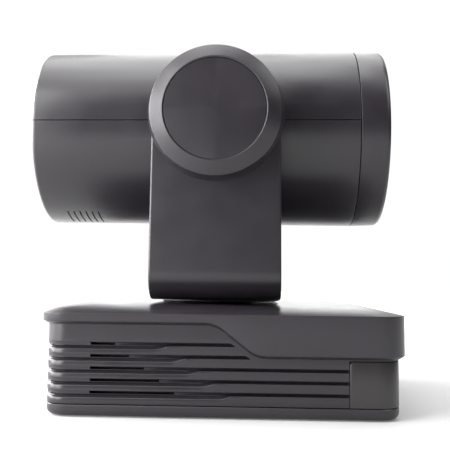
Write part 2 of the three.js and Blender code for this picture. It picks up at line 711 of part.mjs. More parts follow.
// The drum of the head behind the front ring, hollow and open at the front.
function headDrum() {
  const rim = headRadius(HEAD_REAR_X);
  const seam = headRadius(HEAD_SEAM_X);
  const outside = turned('x', [
    [0, HEAD_REAR_X], [rim - 1.6, HEAD_REAR_X], [rim - 0.4, HEAD_REAR_X + 0.5],
    [rim, HEAD_REAR_X + 1.6], [seam, HEAD_SEAM_X - GAP], [0, HEAD_SEAM_X - GAP],
  ], FINE);
  const inside = turned('x', [
    [0, HEAD_REAR_X + WALL], [rim - WALL, HEAD_REAR_X + WALL],
    [seam - WALL, HEAD_SEAM_X + 5], [0, HEAD_SEAM_X + 5],
  ], FINE);
  const axleHole = rod('y', AXLE_RADIUS + 1.2, -60, 60);
  return cut(outside, inside, axleHole);
}

function upperShell() {
  return headDrum().intersect(block(-100, 100, -60, 60, SHELL_SEAM_Z + SHELL_SEAM_GAP / 2, 60));
}

// Lower half of the drum, with two rows of short vents under the rear.
function lowerShell() {
  const half = headDrum().intersect(
    block(-100, 100, -60, 60, -60, SHELL_SEAM_Z - SHELL_SEAM_GAP / 2),
  );
  const vents = [0, 1, 2, 3, 4, 5].map((slot) => {
    const x = BELLY_VENT_X + slot * BELLY_VENT_PITCH;
    return blockPair(x - 0.5, x + 0.5, 4, 18.2, -50, -30);
  });
  return cut(half, ...vents);
}

// The bezel ring that closes the front of the drum and shades the lens.
function frontRing() {
  const outer = headRadius(HEAD_SEAM_X);
  return turned('x', [
    [38.2, HEAD_SEAM_X], [outer, HEAD_SEAM_X], [outer - 0.45, HEAD_FRONT_X - 1.4],
    [outer - 0.9, HEAD_FRONT_X - 0.4], [outer - 1.9, HEAD_FRONT_X], [39.6, HEAD_FRONT_X],
    [38.2, HEAD_FRONT_X - 1.6], [38.2, HEAD_SEAM_X],
  ], FINE);
}

// Glossy dished disc between the front ring and the lens.
function frontBezel() {
  return turned('x', [
    [25.3, 66.5], [37.9, 70], [37.9, 72], [25.3, 68.5], [25.3, 66.5],
  ], FINE);
}

function lensRing() {
  return turned('x', [
    [BARREL_BORE + 1, 62.6], [25, 62.6], [25, 69.6], [24.2, 70.4],
    [21.6, 70.4], [BARREL_BORE + 1, 68.8], [BARREL_BORE + 1, 62.6],
  ]);
}

function frontLens() {
  return turned('x', [
    [0, 62.8], [20.3, 64], [20.3, 65.6], [17, 67.1], [11, 68.5], [5, 69.2], [0, 69.4],
  ]);
}

// A moving lens cell: a rim that slides in the barrel with its glass in the middle.
function lensCell(centreX, halfLength) {
  const rim = BARREL_BORE - 0.5;
  return turned('x', [
    [0, centreX - 1.5], [12, centreX - 2.6], [13.5, centreX - halfLength],
    [rim, centreX - halfLength], [rim, centreX + halfLength],
    [13.5, centreX + halfLength], [12, centreX + 2.6], [0, centreX + 1.5],
  ]);
}

// A folded channel inside the head that carries the lens, the motor and the boards.
function headChassis() {
  const outline = new THREE.Shape([
    [-36, 17], [-36, -17], [-28, -28], [28, -28], [36, -17], [36, 17],
    [34, 17], [34, -16.3], [27, -26], [-27, -26], [-34, -16.3], [-34, 17],
  ].map(([y, z]) => new THREE.Vector2(y, z)));
  return cut(lengthwise(outline, -58, 46), rod('y', 13.3, -40, 40));
}

function tiltMotor() {
  const can = rod('y', 15, -23, -3);
  const plate = block(-19, 19, -24.6, -23, -8, 8);
  const shaftHole = rod('y', 2.8, -26, -18, COARSE);
  return moved(cut(join(can, plate), shaftHole), -TILT_BELT_SPAN, 0, 0);
}

function addHead(group) {
  addPart(group, 'head_upper_shell', upperShell(), plastic);
  addPart(group, 'head_lower_shell', lowerShell(), plastic);
  addPart(group, 'front_ring', frontRing(), plastic);
  addPart(group, 'front_bezel', frontBezel(), glossBlack);
  addPart(group, 'lens_ring', lensRing(), darkPlastic);
  addPart(group, 'front_lens', frontLens(), glass);
  addPart(group, 'head_chassis', headChassis(), aluminium);
  [['left_tilt_bearing', 1], ['right_tilt_bearing', -1]].forEach(([name, side]) => {
    const bearing = ring('y', AXLE_RADIUS + GAP, 13, side * 32.6, side * 37.4);
    addPart(group, name, bearing, steel);
  });
  addPart(group, 'lens_barrel', ring('x', BARREL_BORE, BARREL_RADIUS, -13, 62.3), darkPlastic);
  addPart(group, 'zoom_group', lensCell(20, 5), darkPlastic);
  addPart(group, 'focus_group', lensCell(-4, 4), darkPlastic);
  addPart(group, 'sensor_board', block(-15.4, -13.8, -18, 18, -18, 18), circuitBoard);
  addPart(group, 'video_board', block(-66, -64.4, -25, 25, -24, 24), circuitBoard);
  addPart(group, 'tilt_motor', tiltMotor(), aluminium);
  const loop = beltLoop(TILT_PULLEY_RADIUS, MOTOR_PULLEY_RADIUS, TILT_BELT_SPAN);
  const [beltStart, beltEnd] = [TILT_PULLEY_Y[0] + 0.5, TILT_PULLEY_Y[1] - 0.5];
  const belt = crosswise(loop, beltStart, beltEnd, HALF_TURN_STEPS);
  addPart(group, 'tilt_belt', belt.mirror([1, 0, 0]), rubber);
  const pulley = motorPulley('y', ...TILT_PULLEY_Y, -20);
  addPart(group, 'tilt_motor_pulley', moved(pulley, -TILT_BELT_SPAN, 0, 0), aluminium);
}

// --- Assembly ---------------------------------------------------------------

function addPart(group, name, shape, material) {
  const { vertProperties, triVerts } = shape.getMesh();
  const geometry = new THREE.BufferGeometry();
  geometry.setAttribute('position', new THREE.BufferAttribute(vertProperties, 3));
  geometry.setIndex(new THREE.BufferAttribute(triVerts, 1));
  geometry.computeVertexNormals();
  const mesh = new THREE.Mesh(geometry, material);
  mesh.name = name;
  group.add(mesh);
}

const camera = new THREE.Group();
const base = new THREE.Group();
const yoke = new THREE.Group();
const head = new THREE.Group();
base.position.set(BASE_X, 0, 0);
yoke.position.set(BASE_X + PAN_X, 0, 0);
head.position.set(0, 0, TILT_Z);
addBase(base);
addYoke(yoke);
addHead(head);
yoke.add(head);
camera.add(base, yoke);

export default camera;
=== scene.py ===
"""Looks of a pan-tilt-zoom conference camera: square base, panning yoke, tilting drum head.

Lengths are millimetres in the shape functions and become metres when a mesh is made.
"""

import json
import math

import bmesh
import bpy
from mathutils import Matrix, Vector


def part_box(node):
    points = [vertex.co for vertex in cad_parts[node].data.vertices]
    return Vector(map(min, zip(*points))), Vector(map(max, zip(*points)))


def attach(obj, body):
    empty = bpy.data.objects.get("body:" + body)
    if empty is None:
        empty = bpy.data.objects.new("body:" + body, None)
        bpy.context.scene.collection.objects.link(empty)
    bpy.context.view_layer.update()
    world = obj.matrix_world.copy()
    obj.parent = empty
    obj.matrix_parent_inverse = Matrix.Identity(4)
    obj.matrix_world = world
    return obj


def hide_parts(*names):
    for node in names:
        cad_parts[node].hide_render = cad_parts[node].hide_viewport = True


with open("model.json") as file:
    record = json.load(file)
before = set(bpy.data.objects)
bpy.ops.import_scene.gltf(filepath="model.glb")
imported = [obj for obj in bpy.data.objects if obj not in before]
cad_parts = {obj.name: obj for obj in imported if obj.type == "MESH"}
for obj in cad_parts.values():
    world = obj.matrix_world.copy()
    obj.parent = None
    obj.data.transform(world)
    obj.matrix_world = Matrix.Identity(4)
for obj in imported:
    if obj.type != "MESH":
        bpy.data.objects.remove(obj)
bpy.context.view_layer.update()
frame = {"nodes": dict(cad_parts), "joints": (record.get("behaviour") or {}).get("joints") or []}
joints = {joint["name"]: joint for joint in frame["joints"]}

MM = 0.001
GAP = 0.3
WALL = 2.2


def millimetres(point):
    """A point of the frame, which is in metres, in this script's unit."""
    return Vector(point) / MM


# Where the frame says the main pieces are
PLATE_LOW, PLATE_HIGH = map(millimetres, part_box("base_plate"))
BASE_CENTRE = Vector(((PLATE_LOW.x + PLATE_HIGH.x) / 2, 0, 0))
PAN_CENTRE = Vector((joints["pan"]["pos_m"][0] / MM, 0, 0))
TILT_CENTRE = millimetres(joints["tilt"]["pos_m"])
TILT_Z = TILT_CENTRE.z

# Base
BASE_HALF = 72.5
BASE_CORNER = 9.5
PLATE_Z = 0.4
FLOOR_Z = 2.8
PLATE_TOP_Z = 5.0
HOUSING_TOP_Z = 38.8
GROOVE_TOPS = [30.2, 25.3, 20.4, 15.6, 10.7]
WIDE_ENDS = [-22, -15.5, -9.3, -3, 3.9]
NARROW_ENDS = [3.8, 10, 51.2, 51.2, 51.2]
VENT_START = -53
VENT_ENDS = [-42.9, -37.1, -30.9, -24.7, -18.6]
VENT_BAND = (0.04, 1.2)
END_SLANT = 1.3
WINDOW_X = 51.6
WINDOW_TOP_Z = 23.6
WINDOW_CORNER = 1.6
PANEL_HALF_WIDTH = 52
PANEL_BOTTOM_Z = 8.5
PANEL_TOP_Z = 32
PANEL_MARGIN = 3
BAFFLE_MARGIN = 4
BAFFLE_INNER_Y = 64.6
BAFFLE_OUTER_Y = 65.8
BAFFLE_Z = (7.5, 34)
FOOT_OFFSET = 57
FOOT_RECESS = 7.3
SCREW_X = 46
SCREW_Y = 64
SCREW_HEAD_HOLE = 3.4
SCREW_HOLE = 1.9
RECESS_TOP_Z = 2.3
TRIPOD_HOLE = 6.3

# Lid
LID_HALF = 75
LID_CORNER = 12
LID_EDGE_Z = 41.8
# Height of the crown at the base's centre, and its fall towards the front
LID_CROWN = (45, -0.012)
LID_CROWN_REACH = 22
LID_CROWN_POWER = 2.3
SKIRT_REAR_Z = 37.3
SKIRT_FRONT_Z = 24.3
SKIRT_RAMP = (-2.4, 14.3)
SKIRT_FILLET = 12
# Inwards and upwards
SKIRT_CHAMFER = (2.2, 1.3)
SHAFT_HOLE = 17
PAN_OFFSET = PAN_CENTRE.x - BASE_CENTRE.x

# Yoke
ARM_OUTER_Y = 59.2
ARM_INNER_Y = 45.2
ARM_HALF_WIDTH = 28.5
ARM_TOP_RADIUS = 28
ARM_EDGE = 1.0
YOKE_BOTTOM_Z = 47.05
YOKE_FLOOR_Z = 57.05
YOKE_CORNER = 12
YOKE_INNER_CORNER = 8
HUB_HOLE = 22.05
HUB_CAP_RADIUS = 21.75
HUB_CAP_GAP = 0.08
HUB_INNER_Y = 59.5
HUB_OUTER_Y = 69.5
HUB_CAP_Y = (65, 69.1)
PAN_SHAFT_HOLE = 13.3
LINER_AXLE_HOLE = 9
TURNTABLE_RADIUS = 29
TURNTABLE_Z = (45.65, 46.75)

# Head
HEAD_RADIUS = 43.3
HEAD_TAPER = 0.0061
HEAD_REAR_X = -85.9
HEAD_SEAM_X = 64.85
HEAD_FRONT_X = 78.2
SHELL_SEAM_Z = 0.75
SHELL_SEAM_GAP = 0.4
DRUM_END_ROUNDING = 1.7
HEAD_AXLE_HOLE = 9.2
HEAD_VENTS = 6
HEAD_VENT_PITCH = 3
HEAD_VENT_X = -74.3
HEAD_VENT_HALF_WIDTH = 0.3
HEAD_VENT_Y = (4, 18.2)
LENS_EDGE = 20.3
LENS_TOP_X = 69.4
LENS_CURVE = 56.1

# Sides of a round piece that is seen close
ROUND = 160
# Radius that a solid of revolution keeps at its axis, so that it has no doubled points
NEAR_AXIS = 0.01


# --- Materials --------------------------------------------------------------


def tree_of(name):
    """A new material with its node tree and its shader."""
    material = bpy.data.materials.new(name)
    material.use_nodes = True
    tree = material.node_tree
    return material, tree, tree.nodes["Principled BSDF"]


def add(tree, kind, **settings):
    node = tree.nodes.new(kind)
    for key, value in settings.items():
        setattr(node, key, value)
    return node


def noise(tree, scale, detail=3.0):
    """Cloudy values between 0 and 1, fixed to the object."""
    place = add(tree, "ShaderNodeTexCoord")
    node = add(tree, "ShaderNodeTexNoise")
    node.inputs["Scale"].default_value = scale
    node.inputs["Detail"].default_value = detail
    tree.links.new(place.outputs["Object"], node.inputs["Vector"])
    return node.outputs["Fac"]


def spread(tree, value, low, high, from_low=0.3, from_high=0.7):
    """A value brought from one range to another, kept within the new one."""
    node = add(tree, "ShaderNodeMapRange")
    node.inputs["From Min"].default_value = from_low
    node.inputs["From Max"].default_value = from_high
    node.inputs["To Min"].default_value = low
    node.inputs["To Max"].default_value = high
    tree.links.new(value, node.inputs["Value"])
    return node.outputs["Result"]


def mixed(tree, factor, first, second):
    """A blend of two colours, each given as numbers or as a node's output."""
    node = add(tree, "ShaderNodeMix", data_type="RGBA")
    for socket, value in zip(node.inputs[6:8], (first, second)):
        if isinstance(value, tuple):
            socket.default_value = (*value, 1)
        else:
            tree.links.new(value, socket)
    tree.links.new(factor, node.inputs[0])
    return node.outputs[2]


def bump(tree, shader, height, strength, distance):
    node = add(tree, "ShaderNodeBump")
    node.inputs["Strength"].default_value = strength
    node.inputs["Distance"].default_value = distance
    tree.links.new(height, node.inputs["Height"])
    tree.links.new(node.outputs["Normal"], shader.inputs["Normal"])


def surface(name, colour, rough, grain=0.3, grain_scale=2600, tone=0.08, wear=0.25, **fixed):
    """A finish with grain in its bump, clouded colour and gloss, and lighter worn edges."""
    material, tree, shader = tree_of(name)
    dark = tuple(c * (1 - tone) for c in colour)
    light = tuple(min(1, c * (1 + tone)) for c in colour)
    cloud = noise(tree, 90)
    speck = noise(tree, grain_scale, 2.0)
    base = mixed(tree, spread(tree, cloud, 0, 1), dark, light)
    edge = add(tree, "ShaderNodeNewGeometry").outputs["Pointiness"]
    worn = tuple(min(1, c * 1.6 + 0.02) for c in colour)
    amount = spread(tree, edge, 0, wear, 0.53, 0.62)
    tree.links.new(mixed(tree, amount, base, worn), shader.inputs["Base Color"])
    gloss = spread(tree, cloud, rough * 0.93, min(1, rough * 1.07))
    tree.links.new(gloss, shader.inputs["Roughness"])
    bump(tree, shader, speck, grain, 0.00003)
    for socket, value in fixed.items():
        shader.inputs[socket.replace("_", " ")].default_value = value
    return material


def brushed(name, colour, rough):
    """Bare metal with fine lines drawn along one direction."""
    material, tree, shader = tree_of(name)
    place = add(tree, "ShaderNodeTexCoord")
    stretch = add(tree, "ShaderNodeMapping")
    stretch.inputs["Scale"].default_value = (40, 900, 900)
    lines = add(tree, "ShaderNodeTexNoise")
    lines.inputs["Scale"].default_value = 6
    tree.links.new(place.outputs["Object"], stretch.inputs["Vector"])
    tree.links.new(stretch.outputs["Vector"], lines.inputs["Vector"])
    fac = lines.outputs["Fac"]
    dark = tuple(c * 0.82 for c in colour)
    tree.links.new(mixed(tree, spread(tree, fac, 0, 1), dark, colour), shader.inputs["Base Color"])
    tree.links.new(spread(tree, fac, rough * 0.8, rough * 1.25), shader.inputs["Roughness"])
    bump(tree, shader, fac, 0.15, 0.00002)
    shader.inputs["Metallic"].default_value = 1
    return material


def glass_with_painted_bloom():
    """Coated lens glass, dark inside, with a painted reflection: a faint violet bloom that its colour
    takes at a slant.
    """
    material = surface("coated_glass_painted_bloom", (0.004, 0.005, 0.012), 0.05, grain=0.02, wear=0, tone=0.2)
    tree = material.node_tree
    shader = tree.nodes["Principled BSDF"]
    # Painted reflection: the colour turns violet towards a grazing view, in place of the coating's
    # reflected colour
    slant = add(tree, "ShaderNodeLayerWeight")
    slant.inputs["Blend"].default_value = 0.35
    old = shader.inputs["Base Color"].links[0].from_socket
    tint = mixed(tree, slant.outputs["Facing"], old, (0.05, 0.02, 0.09))
    tree.links.new(tint, shader.inputs["Base Color"])
    shader.inputs["Coat Weight"].default_value = 1
    shader.inputs["Coat Roughness"].default_value = 0.02
    return material


def window_look():
    """Smoked infrared window: nearly black with a red depth, slightly mottled gloss."""
    material = surface("smoked_window", (0.020, 0.017, 0.018), 0.42, grain=0.25, grain_scale=900)
    shader = material.node_tree.nodes["Principled BSDF"]
    shader.inputs["Coat Weight"].default_value = 0.2
    shader.inputs["Coat Roughness"].default_value = 0.3
    return material


FINISHES = {
    "shell_plastic": surface("satin_plastic", (0.0165, 0.0140, 0.0178), 0.33, grain=0.25),
    "dark_plastic": surface("dark_plastic", (0.012, 0.012, 0.014), 0.5, grain=0.3),
    "gloss_black": surface("gloss_black", (0.006, 0.006, 0.007), 0.12, grain=0.05, tone=0.2),
    "smoked_acrylic": window_look(),
    "rubber": surface("rubber", (0.016, 0.016, 0.017), 0.85, grain=0.6, grain_scale=1500),
    "steel": brushed("steel", (0.60, 0.60, 0.62), 0.3),
    "aluminium": brushed("aluminium", (0.52, 0.53, 0.55), 0.4),
    "brass": brushed("brass", (0.62, 0.44, 0.20), 0.3),
    "circuit_board": surface("circuit_board", (0.010, 0.060, 0.030), 0.5, tone=0.25),
    "lens_glass": glass_with_painted_bloom(),
}


# --- Mesh building ----------------------------------------------------------


def mesh_object(name, points, faces, origin, crease=32):
    """A mesh object from millimetre points about an origin, smooth except at sharp edges."""
    mesh = bpy.data.meshes.new(name)
    mesh.from_pydata([(Vector(p) + origin) * MM for p in points], [], faces)
    mesh.validate()
    shape = bmesh.new()
    shape.from_mesh(mesh)
    bmesh.ops.remove_doubles(shape, verts=shape.verts, dist=1e-7)
    bmesh.ops.recalc_face_normals(shape, faces=shape.faces)
    shape.to_mesh(mesh)
    shape.free()
    soften(mesh, crease)
    made = bpy.data.objects.new(name, mesh)
    bpy.context.scene.collection.objects.link(made)
    return made


def soften(mesh, crease=32):
    """Smooth shading, except across edges sharper than the crease angle in degrees."""
    mesh.shade_smooth()
    mesh.set_sharp_from_angle(angle=math.radians(crease))


def skin(rings, loop=False):
    """Points and quads between rings of equally many points; ends are closed unless looped."""
    count = len(rings[0])
    points = [p for ring in rings for p in ring]
    faces = []
    pairs = list(zip(range(len(rings) - 1), range(1, len(rings))))
    if loop:
        pairs.append((len(rings) - 1, 0))
    for a, b in pairs:
        for i in range(count):
            j = (i + 1) % count
            faces.append((a * count + i, a * count + j, b * count + j, b * count + i))
    if not loop:
        faces.append(tuple(range(count)))
        faces.append(tuple(range(len(points) - 1, len(points) - count - 1, -1)))
    return points, faces


def fillet(before, corner, after, radius, steps=5):
    """The arc that rounds one corner of an outline."""
    u = (before - corner).normalized()
    v = (after - corner).normalized()
    half = u.angle(v) / 2
    reach = min(radius / math.tan(half), 0.48 * (before - corner).length,
                0.48 * (after - corner).length)
    centre = corner + (u + v).normalized() * (reach / math.cos(half))
    start = corner + u * reach - centre
    turn = start.angle_signed(corner + v * reach - centre)
    return [centre + Matrix.Rotation(-turn * i / steps, 2) @ start for i in range(steps + 1)]


def rounded(corners, closed=True):
    """An outline from (a, b) or (a, b, corner radius) points."""
    points = [Vector(c[:2]) for c in corners]
    outline = []
    for i, corner in enumerate(corners):
        inner = closed or 0 < i < len(corners) - 1
        if len(corner) == 3 and inner:
            outline += fillet(points[i - 1], points[i], points[(i + 1) % len(points)], corner[2])
        else:
            outline.append(points[i])
    return outline


def along(axis, radius, angle, distance):
    """A point round an axis; the angle starts at +Z for X and Y axes, and at +X for Z."""
    a, b = radius * math.cos(angle), radius * math.sin(angle)
    return {"x": (distance, b, a), "y": (b, distance, a), "z": (a, b, distance)}[axis]


def turned(axis, corners):
    """A closed profile of (radius, distance, corner radius) turned round an axis."""
    profile = rounded(corners)
    rings = []
    for i in range(ROUND):
        angle = 2 * math.pi * i / ROUND
        rings.append([along(axis, p.x, angle, p.y) for p in profile])
    return skin(rings, loop=True)


def piece(name, body, slot, shape, origin, crease=32):
    """Makes a piece with its finish, and lets it ride on a body in place of its CAD node."""
    made = mesh_object(name, *shape, origin, crease)
    made.data.materials.append(FINISHES[slot])
    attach(made, body)
    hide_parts(name.removesuffix("_look"))
    return made


def carve(target, cutter_shapes, origin):
    """Cuts closed shapes out of a piece for good."""
    for shape in cutter_shapes:
        cutter = mesh_object("cutter", *shape, origin)
        modifier = target.modifiers.new("cut", "BOOLEAN")
        modifier.operation = "DIFFERENCE"
        modifier.solver = "EXACT"
        modifier.object = cutter
        bpy.context.view_layer.update()
        result = target.evaluated_get(bpy.context.evaluated_depsgraph_get())
        mesh = bpy.data.meshes.new_from_object(result)
        target.modifiers.clear()
        old = target.data
        target.data = mesh
        bpy.data.meshes.remove(old)
        bpy.data.objects.remove(cutter)
        soften(target.data)


def soft_edges(target, width):
    """A small round along the sharp edges of a piece."""
    bevel = target.modifiers.new("soft_edges", "BEVEL")
    bevel.width = width * MM
    bevel.segments = 2
    bevel.limit_method = "ANGLE"
    bevel.angle_limit = math.radians(50)
    bevel.harden_normals = True


def rod(axis, radius, start, end, segments=48):
    """A plain round bar, used as a cutter."""
    rings = []
    for distance in (start, end):
        rings.append([along(axis, radius, 2 * math.pi * i / segments, distance)
                      for i in range(segments)])
    return skin(rings)


def block(low, high):
    (x0, y0, z0), (x1, y1, z1) = low, high
    rings = [[(x0, y0, z), (x1, y0, z), (x1, y1, z), (x0, y1, z)] for z in (z0, z1)]
    return skin(rings)


# --- Outlines of the base ---------------------------------------------------


def plan_outline(half, corner, stations=(), steps=14):
    """A rounded square with extra stations along both long sides, as (x, y, angle) rows."""
    rows = []
    for quarter, (sx, sy) in enumerate([(1, 1), (-1, 1), (-1, -1), (1, -1)]):
        for i in range(steps + 1):
            angle = (quarter + i / steps) * math.pi / 2
            x = sx * (half - corner) + corner * math.cos(angle)
            y = sy * (half - corner) + corner * math.sin(angle)
            rows.append((x, y, angle))
        if quarter == 0:
            rows += [(x, half, math.pi / 2) for x in sorted(stations, reverse=True)]
        if quarter == 2:
            rows += [(x, -half, 3 * math.pi / 2) for x in sorted(stations)]
    return rows


def plan_ring(half, corner, height, stations=()):
    """The rounded square as points whose height depends on x."""
    return [(x, y, height(x)) for x, y, _ in plan_outline(half, corner, stations)]


def skirt_edge(x):
    """Height of the lid's lower edge: level, a filleted ramp, then level again."""
    start, end = SKIRT_RAMP
    slope = math.atan2(SKIRT_REAR_Z - SKIRT_FRONT_Z, end - start)
    tangent = SKIRT_FILLET * math.tan(slope / 2)
    width = SKIRT_FILLET * math.sin(slope)
    from_start = x - (start - tangent)
    to_end = end + tangent - x

    def sag(d):
        return SKIRT_FILLET - math.sqrt(SKIRT_FILLET**2 - d**2)

    if from_start <= 0:
        return SKIRT_REAR_Z
    if to_end <= 0:
        return SKIRT_FRONT_Z
    if from_start < width:
        return SKIRT_REAR_Z - sag(from_start)
    if to_end < width:
        return SKIRT_FRONT_Z + sag(to_end)
    return SKIRT_REAR_Z - math.tan(slope) * (x - start)


# --- Base -------------------------------------------------------------------


def lid_shape():
    """Crowned top with a hole for the pan shaft, and a skirt with a chamfered lower edge."""
    stations = [-60 + 6 * i for i in range(9)] + [-8 + 0.7 * i for i in range(41)]
    stations += [22 + 6 * i for i in range(7)]

    def crown(x):
        return LID_CROWN[0] + LID_CROWN[1] * x

    def ring_at(inset, height):
        tight = LID_CORNER / 2
        corner = LID_CORNER - inset if inset < tight else tight + (inset - tight) / 2
        share = (LID_HALF - inset - corner) / (LID_HALF - LID_CORNER)
        return plan_ring(LID_HALF - inset, corner, height, [x * share for x in stations])

    def crown_ring(inset):
        rise = 1 - (1 - inset / LID_CROWN_REACH) ** LID_CROWN_POWER
        return ring_at(inset, lambda x: LID_EDGE_Z + (crown(x) - LID_EDGE_Z) * rise)

    def hole_ring(height):
        ring = []
        for x, y, _ in ring_at(LID_CROWN_REACH, crown):
            angle = math.atan2(y, x - PAN_OFFSET)
            hole_x = PAN_OFFSET + SHAFT_HOLE * math.cos(angle)
            ring.append((hole_x, SHAFT_HOLE * math.sin(angle), height(hole_x)))
        return ring

    chamfer_in, chamfer_up = SKIRT_CHAMFER
    insets = [22, 18.5, 15, 12, 9.5, 7.4, 5.6, 4.2, 3, 2, 1.2, 0.6, 0.2, 0]
    rings = [hole_ring(lambda x: crown(x) - WALL), hole_ring(crown)]
    rings += [crown_ring(inset) for inset in insets]
    rings += [
        ring_at(0, lambda x: skirt_edge(x) + chamfer_up + 0.25),
        ring_at(0.06, lambda x: skirt_edge(x) + chamfer_up + 0.05),
        ring_at(0.25, lambda x: skirt_edge(x) + chamfer_up - 0.15),
        ring_at(chamfer_in - 0.15, lambda x: skirt_edge(x) + 0.05),
        ring_at(chamfer_in, lambda x: skirt_edge(x) + 0.15),
        ring_at(WALL + 0.05, lambda x: LID_EDGE_Z - WALL),
        ring_at(LID_CROWN_REACH, lambda x: crown(x) - WALL),
    ]
    return skin(rings, loop=True)


# Depth of a side groove as (distance below its top edge, depth): its upper band towards the
# rear and the front, and the lip under it that only the wide stretch has
REAR_BAND = [(-0.1, 0), (0, 0.1), (0.04, 0.45), (1.2, 0.7), (1.32, 1.7), (1.6, 1.7), (1.61, 0), (9, 0)]
FRONT_BAND = [(-0.3, 0), (-0.1, 0.05), (0, 0.2), (0.3, 0.7), (0.6, 1.1), (1.2, 1.7), (1.32, 1.7),
              (1.36, 0), (9, 0)]
LIP = [(1.3, 0), (1.32, 1.75), (1.6, 1.75), (1.7, 1.55), (2.3, 1.05), (2.6, 0.5), (2.8, 0.15),
       (3.1, 0), (9, 0)]
GROOVE_LEVELS = [-0.3, -0.1, 0, 0.04, 0.3, 0.6, 0.9, 1.2, 1.32, 1.36, 1.6, 1.7, 2.0, 2.3, 2.45,
                 2.6, 2.8, 3.1]
# The rear band turns into the front band over this stretch, measured from the wide end
BAND_MORPH = (-40, 8)
LIP_TAPER = 7
# Grooves get shallower within this distance of the rear face, down to a share of their depth
REAR_FADE = 2.2
REAR_SHARE = 0.2


def profile_depth(profile, down):
    """Depth of one groove profile at a distance below the groove's top edge."""
    if down <= profile[0][0]:
        return 0
    for (a, depth_a), (b, depth_b) in zip(profile, profile[1:]):
        if down <= b:
            return depth_a + (depth_b - depth_a) * (down - a) / (b - a)
    return 0


def ease(value):
    """0 to 1 with soft ends."""
    value = min(1, max(0, value))
    return value * value * (3 - 2 * value)


def groove_depth(x, y, z):
    """How far the base's side lies below its outline at one place."""
    if x < 0 and abs(y) < PANEL_HALF_WIDTH + PANEL_MARGIN:
        return 0
    depth = 0
    for top, wide_end, narrow_end in zip(GROOVE_TOPS, WIDE_ENDS, NARROW_ENDS):
        down = top - z
        here = max(band_depth(x - wide_end, down), lip_depth(wide_end + 2 - x, down))
        slant = END_SLANT * down if narrow_end < NARROW_ENDS[-1] else 0
        open_to = ease((narrow_end + slant - x) / 0.5 + 0.5)
        depth = max(depth, here * open_to)
    fade = REAR_SHARE + (1 - REAR_SHARE) * ease((x + BASE_HALF) / REAR_FADE)
    return depth * fade


def band_depth(past_wide_end, down):
    start, end = BAND_MORPH
    morph = ease((past_wide_end - start) / (end - start))
    rear, front = profile_depth(REAR_BAND, down), profile_depth(FRONT_BAND, down)
    return (1 - morph) * rear + morph * front


def lip_depth(before_end, down):
    """The lip under the wide stretch, which loses its height towards the end of the stretch."""
    height = ease(before_end / LIP_TAPER)
    if height <= 0.02:
        return 0
    start = LIP[0][0]
    return min(1, 3 * height) * profile_depth(LIP, start + (down - start) / height)


def is_open(x, y, z):
    """True where the housing wall has a vent, or is cut out for the window or rear panel."""
    if x > WINDOW_X - GAP and z < WINDOW_TOP_Z + GAP:
        return True
    at_rear = x < WALL - BASE_HALF
    if at_rear and abs(y) < PANEL_HALF_WIDTH and PANEL_BOTTOM_Z < z < PANEL_TOP_Z:
        return True
    vent_top, vent_bottom = VENT_BAND
    for top, end in zip(GROOVE_TOPS, VENT_ENDS):
        if VENT_START < x < end and vent_top < top - z < vent_bottom:
            return True
    return False


def housing_columns():
    """Columns round the housing, closest together where the grooves narrow and end."""
    stations = {WINDOW_X - GAP, VENT_START, *VENT_ENDS, *WIDE_ENDS, 50.6, 50.9, 51.1, 51.45, 53, 57}
    for start, step, count in [(-60, 2, 19), (-24, 0.5, 56), (4, 0.25, 40), (14, 3, 12)]:
        stations |= {start + step * i for i in range(count)}
    across = [58, 55.3, PANEL_HALF_WIDTH + PANEL_MARGIN, PANEL_HALF_WIDTH, 26]
    across = across + [0] + [-y for y in reversed(across)]
    columns = []
    for x, y, angle in plan_outline(BASE_HALF, BASE_CORNER, sorted(stations), steps=16):
        columns.append((x, y, angle))
        if abs(angle - math.pi) < 1e-6 and y > 0:
            columns += [(-BASE_HALF, rear_y, angle) for rear_y in across]
    return columns


def housing_levels():
    levels = {PLATE_TOP_Z + GAP, PLATE_TOP_Z + GAP + 0.25, HOUSING_TOP_Z, 35, 32.5,
              PANEL_BOTTOM_Z, PANEL_TOP_Z, WINDOW_TOP_Z + GAP}
    for top in GROOVE_TOPS:
        levels |= {round(top - down, 3) for down in GROOVE_LEVELS}
    return sorted(levels)


def housing_faces(levels, columns):
    """Quads of the housing's grid, left out where the wall is open."""
    count = len(columns)
    faces = []
    for r in range(len(levels) - 1):
        for i in range(count):
            j = (i + 1) % count
            x, y = ((columns[i][k] + columns[j][k]) / 2 for k in (0, 1))
            if not is_open(x, y, (levels[r] + levels[r + 1]) / 2):
                below, above = r * count, (r + 1) * count
                faces.append((below + i, below + j, above + j, above + i))
    return faces


def housing_shape():
    """The housing wall as a fine grid, its grooves pressed in and its vents left open."""
    levels, columns = housing_levels(), housing_columns()
    outer, inner = [], []
    for z in levels:
        foot = 0.25 if z == levels[0] else 0
        for x, y, angle in columns:
            inset = groove_depth(x, y, z) + foot
            nx, ny = math.cos(angle), math.sin(angle)
            outer.append((x - nx * inset, y - ny * inset, z))
            inner.append((x - nx * WALL, y - ny * WALL, z))
    total = len(outer)
    faces = housing_faces(levels, columns)
    walls = [tuple(v + total for v in reversed(face)) for face in faces]
    sides = [side for face in faces for side in zip(face, face[1:] + face[:1])]
    known = set(sides)
    rims = [(b, a, a + total, b + total) for a, b in sides if (b, a) not in known]
    return merged((outer + inner, faces + walls + rims), *vent_baffles())


def vent_baffles():
    """Thin inner walls that keep light from shining through behind the vents."""
    start, end = VENT_START - BAFFLE_MARGIN, VENT_ENDS[-1] + BAFFLE_MARGIN
    bottom, top = BAFFLE_Z
    for near, far in ((BAFFLE_INNER_Y, BAFFLE_OUTER_Y), (-BAFFLE_OUTER_Y, -BAFFLE_INNER_Y)):
        yield block((start, near, bottom), (end, far, top))


def merged(*shapes):
    points, faces = [], []
    for more, more_faces in shapes:
        start = len(points)
        points += more
        faces += [tuple(v + start for v in face) for face in more_faces]
    return points, faces


